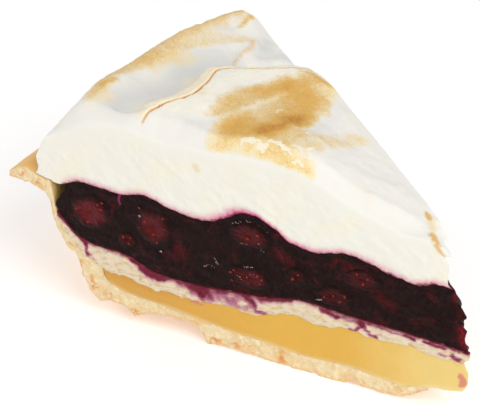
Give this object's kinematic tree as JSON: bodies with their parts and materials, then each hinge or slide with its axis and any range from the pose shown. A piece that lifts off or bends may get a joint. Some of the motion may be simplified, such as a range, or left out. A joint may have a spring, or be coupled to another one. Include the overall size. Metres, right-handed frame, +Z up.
{
  "type": "blueberry lemon pie slice",
  "caption": "Wedge cut from a round pie: baked crust with a rim, lemon, cream and blueberry layers, cut berries on both faces, and a tall toasted meringue top.",
  "frame": {"origin": "on the flat underside, on the slice's middle line, 60 mm from the pie's centre", "axes": "+X towards the tip, -X towards the rim, -Y towards the cut face shown in the picture, +Z up"},
  "size_m": [0.1247, 0.0784, 0.0648],
  "materials": {
    "crust": "baked shortcrust, dry and crumbly",
    "lemon": "set lemon filling, smooth and moist",
    "cream": "pale crumbly cream layer stained by juice",
    "blueberry": "dark glossy fruit filling",
    "berry": "cut berry flesh, moist",
    "meringue": "soft meringue, toasted in patches"
  },
  "bodies": {
    "root": {"crust": "crust", "lemon_filling": "lemon", "cream_layer": "cream", "blueberry_filling": "blueberry", "meringue": "meringue", "berry_front_1": "berry", "berry_front_2": "berry", "berry_front_3": "berry", "berry_front_4": "berry", "berry_front_5": "berry", "berry_front_6": "berry", "berry_front_7": "berry", "berry_front_8": "berry", "berry_far_1": "berry", "berry_far_2": "berry", "berry_far_3": "berry", "berry_far_4": "berry", "berry_far_5": "berry", "berry_far_6": "berry"}
  },
  "joints": []
}
